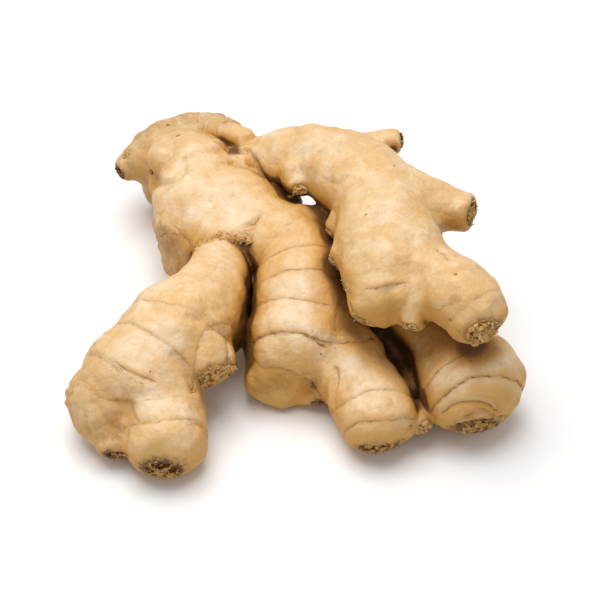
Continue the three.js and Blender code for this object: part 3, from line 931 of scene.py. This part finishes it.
def scar_cap(number, scar):
    """One scar's rough cap, as its grid of points and their heights.

    Rings of points round the scar's middle are dropped on the lobes, lifted by the crust's height, and
    tucked under the skin at the ragged rim. A smaller ring below closes the cap.
    """
    share = np.linspace(0.04, 1, CRUST_ROWS - 1)
    turn = np.arange(CRUST_TURNS) * (2 * math.pi / CRUST_TURNS)
    round_it = np.stack([np.cos(turn) * 1.6, np.sin(turn) * 1.6, np.full(CRUST_TURNS, number * 9.0)], axis=1)
    edge = 1 + 0.16 * cloud(round_it, 1.0, 31) + 0.08 * cloud(round_it, 0.35, 32)
    grid, away = raised_from(scar, on_scar(scar, share[:, None] * edge[None], turn).reshape(-1, 3))
    height = crust_height(grid, 50 + 10 * number)
    bowl = np.repeat(share, CRUST_TURNS)
    tuck = eased(0.78, 1.0, bowl)
    rough = scar["rough"]
    lift = lumps(grid) - 0.45 + rough * height * (1 - tuck) - 0.9 * tuck - 0.35 * rough * eased(0.5, 0, bowl)
    grid = (grid + away * lift[:, None]).reshape(CRUST_ROWS - 1, CRUST_TURNS, 3)
    base = grid[-1:] * 0.75 + scar["middle"] * 0.25 - scar["outward"] * 1.6
    return (np.concatenate([grid, base]),
            np.concatenate([height, np.zeros(CRUST_TURNS), [height[0], 0.0]]))


def crusts():
    """A rough closed cap over every scar."""
    caps = [scar_cap(number, scar) for number, scar in enumerate(SCARS.values())]
    places, faces = closed_caps(CRUST_ROWS, CRUST_TURNS, np.array([grid for grid, height in caps]))
    dark = [scar["dark"] for scar in SCARS.values()]
    return grown_piece("scar_crusts", places, faces,
                       {"height": np.concatenate([height for grid, height in caps]),
                        "dark": np.repeat(dark, CRUST_ROWS * CRUST_TURNS + 2)})


FIBRE_ROWS = 5
FIBRE_SIDES = 5


def scar_roots(random):
    """Fibres strewn over each scar and leaning along it: their roots, directions, lengths and tones."""
    strewn = []
    for scar in SCARS.values():
        count = int(0.9 * scar["wide"] * scar["high"]) + 5
        share, turn = np.sqrt(random.random(count)) * 1.02, random.random(count) * 2 * math.pi
        spot, up_here = raised_from(scar, on_scar(scar, share, turn))
        spread = random.normal(size=(count, 3))
        along_skin = unit(spread - up_here * (spread * up_here).sum(1)[:, None])
        strewn.append((spot + up_here * (lumps(spot) - 0.2)[:, None],
                       unit(up_here * 0.3 + 0.95 * along_skin),
                       random.uniform(0.35, 0.9, count),
                       random.random(count) * (0.9 - 0.7 * scar["dark"]) + 0.1))
    return strewn


def fringe_roots(random):
    """Fibres strewn along each fringe and hanging from it: their roots, directions, lengths and tones."""
    strewn = []
    for knots, count, low, longest in FRINGES:
        line = curve_through(knots)
        spot = line[random.integers(0, len(line), count)] + random.normal(size=(count, 3)) * 0.5
        spot, up_here = on_skin(spot)
        spread = random.normal(size=(count, 3)) * (0.7, 0.4, 0.4)
        strewn.append((spot + up_here * lumps(spot)[:, None],
                       unit(spread + up_here * 0.7 + (0.0, -0.5, 0.0)),
                       random.uniform(0.3, 1.0, count) * longest,
                       random.uniform(low, low + 0.75, count)))
    return strewn


def fibres():
    """Short bent fibres standing on the scars and the fringes, each a tapered round thread.

    A fibre is a parabola from its root: a straight run plus a bend that grows with the square of the
    way along. Its radius shrinks evenly to two fifths at its end.
    """
    random = np.random.default_rng(7)
    strewn = scar_roots(random) + fringe_roots(random)
    roots, away, sizes, tones = (np.concatenate(column) for column in zip(*strewn))
    count = len(roots)
    bend = random.normal(size=(count, 3)) * 0.8
    bend = bend - away * (bend * away).sum(1)[:, None]
    way = np.linspace(0, 1, FIBRE_ROWS)[None, :, None]
    spine = (roots[:, None] - away[:, None] * 0.3
             + sizes[:, None, None] * (away[:, None] * way + bend[:, None] * way ** 2))
    forward = unit(away[:, None] + 2 * bend[:, None] * way)
    across = unit(np.cross(forward, random.normal(size=(count, 1, 3))))
    upward = np.cross(forward, across)
    thick = random.uniform(0.18, 0.38, (count, 1, 1, 1)) * (1 - 0.6 * way[..., None])
    turn = np.arange(FIBRE_SIDES) * (2 * math.pi / FIBRE_SIDES)
    grid = spine[:, :, None] + thick * (np.cos(turn)[None, None, :, None] * across[:, :, None]
                                        + np.sin(turn)[None, None, :, None] * upward[:, :, None])
    places, faces = closed_caps(FIBRE_ROWS, FIBRE_SIDES, grid[:, ::-1])
    return grown_piece("scar_fibres", places, faces,
                       {"tone": np.repeat(tones, FIBRE_ROWS * FIBRE_SIDES + 2)})


crust_piece = crusts()
fibre_piece = fibres()


# ---------------------------------------------------------------- finishes

class Bench:
    """Short ways to place and join the nodes of one node tree. Lengths in it are in millimetres."""

    def __init__(self, tree):
        self.tree = tree
        self.count = 0

    def feed(self, socket, value):
        """Joins a socket to another one, or sets its value."""
        if isinstance(value, bpy.types.NodeSocket):
            self.tree.links.new(value, socket)
        else:
            socket.default_value = value

    def node(self, kind, inputs=(), **settings):
        """A node with its settings made and its inputs fed, by name or by number."""
        node = self.tree.nodes.new(kind)
        self.count += 1
        node.location = (180 * (self.count // 8), -170 * (self.count % 8))
        for name, value in settings.items():
            setattr(node, name, value)
        for name, value in dict(inputs).items():
            self.feed(node.inputs[name], value)
        return node

    def math(self, operation, *values):
        """One sum on up to three numbers."""
        return self.node("ShaderNodeMath", enumerate(values), operation=operation).outputs[0]

    def vector(self, operation, *values):
        """One sum on two vectors."""
        node = self.node("ShaderNodeVectorMath", enumerate(values), operation=operation)
        return node.outputs["Value" if operation == "DISTANCE" else "Vector"]

    def scaled(self, vector, factor):
        """A vector times a number."""
        return self.node("ShaderNodeVectorMath", {0: vector, "Scale": factor}, operation="SCALE").outputs[0]

    def noise(self, place, size, detail=2.0, rough=0.55, bend=0.0, output="Fac"):
        """Smooth random values round a half, with lumps of the given size."""
        return self.node("ShaderNodeTexNoise", {"Vector": place, "Scale": 1 / size, "Detail": detail,
                                                "Roughness": rough, "Distortion": bend}).outputs[output]

    def cells(self, place, size):
        """The distance to the nearest of scattered points, as a share of their spacing."""
        return self.node("ShaderNodeTexVoronoi", {"Vector": place, "Scale": 1 / size}).outputs["Distance"]

    def line(self, value, low, high, start=0.0, end=1.0, **settings):
        """An even rise from start, at low, to end, at high. Low may be the greater of the two."""
        return self.node("ShaderNodeMapRange", {"Value": value, "From Min": low, "From Max": high,
                                                "To Min": start, "To Max": end}, **settings).outputs["Result"]

    def step(self, value, low, high, start=0.0, end=1.0):
        """A smooth rise from start, at low, to end, at high."""
        return self.line(value, low, high, start, end, interpolation_type="SMOOTHSTEP")

    def mixed(self, share, first, second):
        """Two colours mixed by a share."""
        node = self.node("ShaderNodeMix", {0: share}, data_type="RGBA")
        for socket, colour in ((node.inputs[6], first), (node.inputs[7], second)):
            self.feed(socket, (*colour, 1.0) if isinstance(colour, tuple) else colour)
        return node.outputs[2]

    def coated(self, colour, coats):
        """A colour with coats laid over it, each a mask, how much of it shows at most, and its tone."""
        for mask, share, tone in coats:
            colour = self.mixed(self.math("MULTIPLY", mask, share), colour, tone)
        return colour

    def uneven(self, noise, amount, value):
        """A value with a noise round a half added to it, times an amount."""
        return self.math("MULTIPLY_ADD", self.math("SUBTRACT", noise, 0.5), amount, value)

    def place(self):
        """The piece's own coordinates, in millimetres."""
        return self.scaled(self.node("ShaderNodeTexCoord").outputs["Object"], 1 / MM)

    def kept(self, name, field="Fac"):
        """Values kept on the mesh."""
        return self.node("ShaderNodeAttribute", attribute_name=name, attribute_type="GEOMETRY").outputs[field]

    def mask(self, tree, **inputs):
        """The mask of a node group placed with its own values."""
        return self.node("ShaderNodeGroup", inputs, node_tree=tree).outputs["Mask"]

    def bumped(self, height, strength, distance):
        """The normal over a height, which is a share of a distance."""
        return self.node("ShaderNodeBump", {"Height": height, "Strength": strength,
                                            "Distance": distance * MM}).outputs[0]


def new_group(name, **inputs):
    """An empty node group with a place, its own numbers and a mask, as the bench, the inputs and the mask."""
    tree = bpy.data.node_groups.new(name, "ShaderNodeTree")
    tree.interface.new_socket("Place", in_out="INPUT", socket_type="NodeSocketVector")
    for socket, value in inputs.items():
        tree.interface.new_socket(socket, in_out="INPUT", socket_type="NodeSocketFloat").default_value = value
    tree.interface.new_socket("Mask", in_out="OUTPUT", socket_type="NodeSocketFloat")
    bench = Bench(tree)
    return bench, bench.node("NodeGroupInput").outputs, bench.node("NodeGroupOutput").inputs["Mask"]


def new_material(name, specular=0.5):
    """An empty material, as itself, the bench and the inputs of its shader."""
    material = bpy.data.materials.new(name)
    material.use_nodes = True
    material.node_tree.nodes.clear()
    bench = Bench(material.node_tree)
    shader = bench.node("ShaderNodeBsdfPrincipled", {"Specular IOR Level": specular})
    sink = bench.node("ShaderNodeOutputMaterial")
    bench.feed(sink.inputs["Surface"], shader.outputs[0])
    return material, bench, shader.inputs


def cloudy_group():
    """Uneven patches in two sizes, as one mask round a half."""
    bench, given, mask = new_group("cloudy patches", Size=10.0)
    place = bench.scaled(given["Place"], bench.math("DIVIDE", 1.0, given["Size"]))
    broad = bench.noise(place, 1.0, 3.0, 0.6, 0.4)
    small = bench.noise(place, 0.27, 2.0, 0.6)
    both = bench.math("MULTIPLY_ADD", small, 0.35, bench.math("MULTIPLY", broad, 0.65))
    bench.feed(mask, bench.step(both, 0.34, 0.64))
    return bench.tree


def speck_group():
    """Scattered small brown specks, of uneven size, as a mask."""
    bench, given, mask = new_group("brown specks", Size=4.0, Share=0.5)
    place = bench.scaled(given["Place"], bench.math("DIVIDE", 1.0, given["Size"]))
    ragged = bench.math("MULTIPLY_ADD", bench.noise(place, 0.2, 1.0), 0.10, bench.cells(place, 1.0))
    allowed = bench.step(bench.noise(bench.vector("ADD", place, (7.1, 3.3, 9.7)), 1.7, 1.0), 0.42, 0.62)
    size = bench.math("MULTIPLY_ADD", bench.math("MULTIPLY", allowed, given["Share"]), 0.16, 0.04)
    gone = bench.math("SMOOTH_MIN", bench.math("DIVIDE", ragged, size), 1.0, 0.1)
    bench.feed(mask, bench.step(bench.math("SUBTRACT", 1.0, gone), 0.0, 0.35))
    return bench.tree


CLOUDY = cloudy_group()
SPECKS = speck_group()

# Tones of fresh skin, from its palest to where it lies in a hollow. Cream also paints highlights, and gold
# and shaded also paint shade on the flanks, before lines and in the hollows.
CREAM = (0.88, 0.73, 0.54)
PALE = (0.85, 0.655, 0.43)
ROSE = (0.84, 0.56, 0.37)
TAN = (0.73, 0.465, 0.21)
GOLD = (0.63, 0.325, 0.06)
SHADED = (0.46, 0.195, 0.02)

# Tones of old, stained and broken places. Deep is also painted shade deep in a gap, and the darkest is
# painted shade in the darkest gaps.
OCHRE = (0.60, 0.38, 0.10)
WEATHERED = (0.42, 0.25, 0.09)
STAIN = (0.42, 0.17, 0.03)
BRUISE = (0.40, 0.20, 0.05)
BARK = (0.31, 0.14, 0.036)
CREASE = (0.25, 0.085, 0.01)
ROOT_DOT = (0.2, 0.09, 0.03)
DEEP = (0.09, 0.028, 0.005)
GAP_SHADE = (0.07, 0.02, 0.004)
FLESH_DARK = (0.27, 0.13, 0.04)
FLESH_PALE = (0.62, 0.39, 0.15)

# Tones of crusts and fibres.
CRUST_PALE = (0.80, 0.53, 0.22)
CRUST_TAN = (0.58, 0.31, 0.08)
CRUST_PIT_SHADE = (0.30, 0.13, 0.03)
FIBRE_DARK = (0.20, 0.08, 0.018)
STRAW = (0.78, 0.51, 0.20)


def root_dots(bench, place):
    """A mask of the small round root scars, each with an uneven edge."""
    dots = None
    uneven_edge = bench.math("MULTIPLY_ADD", bench.noise(place, 0.7, 2.0), 0.5, -0.25)
    for middle, radius in DOTS:
        gone = bench.math("ADD", bench.vector("DISTANCE", place, middle), uneven_edge)
        one = bench.step(gone, radius * 1.15, radius * 0.55)
        dots = one if dots is None else bench.math("MAXIMUM", dots, one)
    return dots


def rind_patterns(bench):
    """The patterns that the rind's colour, gloss and relief share."""
    place = bench.place()
    streaks = bench.vector("MULTIPLY", bench.kept("grain", "Vector"), (0.11, 1.0, 1.0))
    bent = bench.vector("ADD", place, bench.scaled(bench.noise(place, 1 / 0.35, 2.0, 0.5, 0.0, "Color"), 4.0))
    ragged = bench.noise(place, 2.6, 3.0, 0.65)

    # Lines wobble a little, and come and go.
    wobble = bench.math("MULTIPLY_ADD", bench.noise(place, 2.2, 4.0, 0.7), 2.2, -1.1)
    past_line = bench.math("ADD", bench.kept("line_at"), wobble)
    off_line = bench.math("ABSOLUTE", past_line)
    line_mark = bench.kept("line_mark")
    coming = bench.noise(bench.vector("ADD", place, (31.0, 7.0, 13.0)), 3.6, 3.0, 0.65)
    there = bench.math("MULTIPLY", line_mark, bench.step(coming, 0.38, 0.6, 0.12, 1.0))
    return SimpleNamespace(
        place=place, streaks=streaks, ragged=ragged, line_mark=line_mark, past_line=past_line,
        off_line=off_line,
        crease=bench.math("MULTIPLY", bench.step(off_line, 0.3, 0.04), there),
        broad=bench.mask(CLOUDY, Place=place, Size=22.0),
        middling=bench.mask(CLOUDY, Place=place, Size=7.0),
        small_plates=bench.noise(bent, 2.6, 1.0, 0.5, 0.8),
        bruise=bench.step(bench.uneven(ragged, 2.2, bench.kept("bruise")), 0.05, 0.75),
        specks=bench.mask(SPECKS, Place=place, Size=5.5, Share=0.4),
        dots=root_dots(bench, place))


def fresh_tones(bench, its):
    """Pale tan skin, in patches, plates and faint streaks along each finger, with painted shade that makes it
    more golden low down and where lobes shade it, and painted highlights in cream.
    """
    plates = bench.kept("plates")
    # Painted highlights, in uneven patches round their spots.
    pale = bench.step(bench.uneven(its.broad, 0.5, bench.kept("pale")), 0.0, 0.7)
    weathered = bench.math("MULTIPLY", bench.kept("age"), bench.step(its.middling, 0.0, 1.0, 0.45, 0.85))
    return bench.coated(PALE, [
        (its.broad, 0.75, TAN),
        (its.middling, 0.4, TAN),
        (bench.step(bench.noise(its.place, 15.0, 2.0), 0.55, 0.75), 0.35, ROSE),
        (bench.line(plates, 0.42, 0.7), 0.6, TAN),
        (bench.line(plates, 0.45, 0.2), 0.4, CREAM),
        (bench.line(its.small_plates, 0.4, 0.7), 0.24, GOLD),
        # Painted shade: golden on the flanks and undersides, which face away from the top.
        (bench.line(bench.kept("top"), 1.0, 0.0), 0.95, GOLD),
        # Painted highlights, cream.
        (pale, 0.5, CREAM),
        # Painted shade, golden, where lobes round the skin shade it.
        (bench.step(bench.kept("painted_shade"), 0.05, 0.45), 0.6, GOLD),
        (bench.step(bench.noise(its.streaks, 1.3, 3.0, 0.6), 0.5, 0.8), 0.05, SHADED),
        (bench.step(bench.noise(its.streaks, 3.4, 2.0, 0.5), 0.5, 0.75), 0.08, SHADED),
        (bench.step(bench.noise(its.place, 3.6, 3.0, 0.6, 0.6), 0.46, 0.64), 0.22, GOLD),
        (weathered, 1.0, WEATHERED)])


def painted_shade_tones(bench, its):
    """Painted shade, golden, where the skin runs up to a line, a painted highlight, pale, just past it,
    painted shade, brown, in the hollows, and painted shade, nearly black, in the darkest gaps.
    """
    past = its.past_line
    # Painted shade before each line and a painted highlight past it, as on a small ledge.
    before = bench.math("MULTIPLY", bench.step(past, -2.8, -0.1), bench.step(past, 0.2, -0.15))
    after = bench.math("MULTIPLY", bench.step(past, 2.8, 0.2), bench.step(past, -0.1, 0.3))
    painted_shade_and_brown = bench.kept("painted_shade_and_brown")
    # Painted shade in the darkest gaps, with an uneven edge.
    painted_gap_shade = bench.math("MULTIPLY_ADD", its.middling, 0.3, bench.kept("painted_gap_shade"))
    return [(bench.math("MULTIPLY", before, its.line_mark), 0.5, GOLD),
            (bench.math("MULTIPLY", after, its.line_mark), 0.25, CREAM),
            # Painted shade in the hollows: shaded brown, and nearly black deep in a gap.
            (bench.step(painted_shade_and_brown, 0.17, 0.55), 0.6, SHADED),
            (bench.step(painted_shade_and_brown, 0.5, 0.72), 0.9, DEEP),
            (bench.step(painted_gap_shade, 0.1, 0.75), 0.9, GAP_SHADE)]


def patch_tones(bench, its):
    """Ochre and bruised patches, and broken faces with darker fibres in them."""
    ochre = bench.step(bench.uneven(its.ragged, 1.0, bench.kept("ochre")), 0.0, 0.5)
    snapped = bench.step(bench.uneven(its.ragged, 0.7, bench.kept("broken")), 0.3, 0.6)
    flesh = bench.mixed(bench.noise(its.place, 1.4, 3.0, 0.7, 1.0), FLESH_DARK, FLESH_PALE)
    return [(ochre, 0.55, OCHRE), (its.bruise, 0.5, BRUISE), (snapped, 0.65, flesh)]


def mark_tones(bench, its):
    """Thin creases in a brown stain, specks, finer specks that are thick on bruises, and root dots."""
    stain = bench.math("MULTIPLY", bench.step(its.off_line, 1.6, 0.1), its.line_mark)
    pepper = bench.mask(SPECKS, Place=its.place, Size=1.9,
                        Share=bench.math("MULTIPLY_ADD", its.bruise, 0.8, 0.1))
    return [(stain, 0.28, STAIN),
            (its.crease, 0.75, CREASE),
            (its.specks, 0.6, BARK),
            (pepper, bench.math("MULTIPLY_ADD", its.bruise, 0.6, 0.15), DEEP),
            (its.dots, 0.75, ROOT_DOT)]


def rim_tones(bench, its):
    """Stained and torn skin round each scar, darkest under its crust."""
    torn = bench.uneven(its.ragged, 1.1, bench.kept("scar"))
    dark = bench.kept("scar_dark")
    return [(bench.step(torn, -0.35, 0.15), bench.line(dark, 0, 1, 0.15, 0.85), BARK),
            (bench.step(torn, -0.02, 0.2), bench.line(dark, 0, 0.6, 0.2, 0.85), DEEP)]


def rind_height(bench, its):
    """The rind's fine relief: streaks, pores, wrinkles, plates, and a small step at each line."""
    height = bench.math("MULTIPLY", bench.noise(its.streaks, 0.8, 3.0, 0.6), 0.05)
    for pattern, share in (
            (bench.noise(its.place, 0.55, 2.0, 0.6), 0.07),
            (bench.noise(its.place, 2.2, 3.0, 0.6), 0.5),
            (its.small_plates, 0.25),
            (its.crease, -0.3),
            (bench.step(its.past_line, -0.5, 0.6), bench.math("MULTIPLY", its.line_mark, -0.22)),
            (its.dots, -0.3),
            (its.specks, 0.05)):
        height = bench.math("MULTIPLY_ADD", pattern, share, height)
    return height


def rind():
    """Fresh ginger skin: pale tan, streaked along each finger, ringed, creased, speckled and scarred."""
    material, bench, shader = new_material("ginger rind", 0.32)
    its = rind_patterns(bench)
    colour = fresh_tones(bench, its)
    for tones in (painted_shade_tones, patch_tones, mark_tones, rim_tones):
        colour = bench.coated(colour, tones(bench, its))
    bench.feed(shader["Base Color"], colour)
    matt = bench.math("MULTIPLY", bench.math("MAXIMUM", its.crease, its.bruise), 0.2)
    bench.feed(shader["Roughness"], bench.math("ADD", bench.line(its.middling, 0, 1, 0.42, 0.56), matt))
    bench.feed(shader["Normal"], bench.bumped(rind_height(bench, its), 0.85, 1.0))
    shader["Subsurface Weight"].default_value = 0.18
    shader["Subsurface Radius"].default_value = (1.0, 0.45, 0.2)
    shader["Subsurface Scale"].default_value = 3.5 * MM
    return material


def crust_finish():
    """Corky scars: tan on the walls and nearly black in the pits, partly the crust's own pattern and partly
    painted shade of the pits.
    """
    material, bench, shader = new_material("scar crust", 0.12)
    place, dark = bench.place(), bench.kept("dark")
    fine = bench.noise(place, 0.45, 3.0, 0.65)
    shifted = bench.vector("ADD", place, bench.noise(place, 1 / 1.2, 2.0, 0.5, 0.0, "Color"))
    grains = bench.cells(shifted, 0.95)
    level = bench.uneven(fine, 0.9, bench.kept("height"))
    level = bench.math("MULTIPLY_ADD", bench.math("SUBTRACT", 0.42, grains), 0.9, level)
    level = bench.math("SUBTRACT", level, bench.line(dark, 0.0, 1.0, -0.28, 0.22))
    patchy = bench.mask(CLOUDY, Place=place, Size=3.0)
    wall = bench.coated(CRUST_PALE, [(patchy, 1.0, CRUST_TAN), (bench.line(dark, 0.2, 1.0), 0.5, BARK)])
    # Painted shade in the pits between the crust's walls, darker on the darker scars.
    pit = bench.mixed(bench.line(dark, 0.0, 0.7), CRUST_PIT_SHADE, DEEP)
    specks = bench.mask(SPECKS, Place=place, Size=1.1, Share=0.8)
    colour = bench.coated(pit, [(bench.step(level, 0.08, 0.55), 1.0, wall), (specks, 0.4, DEEP)])
    bench.feed(shader["Base Color"], colour)
    bench.feed(shader["Roughness"], bench.line(patchy, 0, 1, 0.7, 0.9))
    bench.feed(shader["Normal"], bench.bumped(bench.math("SUBTRACT", fine, grains), 0.8, 0.5))
    return material


def fibre_finish():
    """Dry root fibre: from dark brown to pale straw, thread by thread."""
    material, bench, shader = new_material("dry fibre")
    place = bench.place()
    patchy = bench.mask(CLOUDY, Place=place, Size=2.0)
    colour = bench.coated(FIBRE_DARK, [(bench.step(bench.kept("tone"), 0.0, 0.9), 1.0, STRAW),
                                       (patchy, 0.15, BARK)])
    bench.feed(shader["Base Color"], colour)
    bench.feed(shader["Roughness"], bench.line(patchy, 0, 1, 0.6, 0.8))
    bench.feed(shader["Normal"], bench.bumped(bench.noise(place, 0.2, 2.0), 0.5, 0.1))
    return material


for piece, finish in ((rhizome, rind()), (crust_piece, crust_finish()), (fibre_piece, fibre_finish())):
    piece.data.materials.clear()
    piece.data.materials.append(finish)


# ---------------------------------------------------------------- floor, light and camera

# Half the floor's side, in metres, and its paleness.
FLOOR_HALF = 2.0
FLOOR_TONE = (0.9, 0.9, 0.9, 1)

# The camera's tilt down and its field of view in degrees, its sensor's width, its distance in metres, and
# what it is aimed at.
CAMERA_TILT = 45
CAMERA_VIEW = 20
CAMERA_SENSOR = 36
CAMERA_DISTANCE = 0.595
CAMERA_AIM = Vector((0.00025, -0.015, 0.025))


def flat_floor():
    """A wide pale square on the table's height."""
    half = FLOOR_HALF
    mesh = bpy.data.meshes.new("floor")
    mesh.from_pydata([(-half, -half, 0), (half, -half, 0), (half, half, 0), (-half, half, 0)], [],
                     [(0, 1, 2, 3)])
    floor = bpy.data.objects.new("floor", mesh)
    bpy.context.scene.collection.objects.link(floor)
    material = bpy.data.materials.new("pale floor")
    material.use_nodes = True
    shader = material.node_tree.nodes["Principled BSDF"]
    shader.inputs["Base Color"].default_value = FLOOR_TONE
    shader.inputs["Roughness"].default_value = 0.6
    mesh.materials.append(material)


def soft_light(name, place, aim, size, energy):
    """A square soft box at a place in metres, turned to its aim."""
    light = bpy.data.lights.new(name, "AREA")
    light.size = size
    light.energy = energy
    box = bpy.data.objects.new(name, light)
    box.location = place
    box.rotation_euler = (Vector(aim) - Vector(place)).to_track_quat("-Z", "Y").to_euler()
    bpy.context.scene.collection.objects.link(box)


def even_sky(strength):
    """A plain white surround."""
    world = bpy.data.worlds.new("surround")
    world.use_nodes = True
    world.node_tree.nodes["Background"].inputs["Color"].default_value = (1, 1, 1, 1)
    world.node_tree.nodes["Background"].inputs["Strength"].default_value = strength
    bpy.context.scene.world = world


def placed_camera():
    """A camera that looks down from the fingertips' side."""
    tilt = math.radians(CAMERA_TILT)
    away = Vector((0, -math.cos(tilt), math.sin(tilt)))
    lens = bpy.data.cameras.new("camera")
    lens.sensor_width = CAMERA_SENSOR
    lens.lens = CAMERA_SENSOR / 2 / math.tan(math.radians(CAMERA_VIEW / 2))
    lens.clip_start = 0.01
    camera = bpy.data.objects.new("camera", lens)
    camera.location = CAMERA_AIM + away * CAMERA_DISTANCE
    camera.rotation_euler = (-away).to_track_quat("-Z", "Y").to_euler()
    bpy.context.scene.collection.objects.link(camera)
    bpy.context.scene.camera = camera


flat_floor()
even_sky(strength=0.49)
soft_light("key", place=(-0.10, 0.09, 0.73), aim=(0, 0, 0), size=0.6, energy=5.3)
placed_camera()
bpy.context.scene.view_settings.view_transform = "Standard"
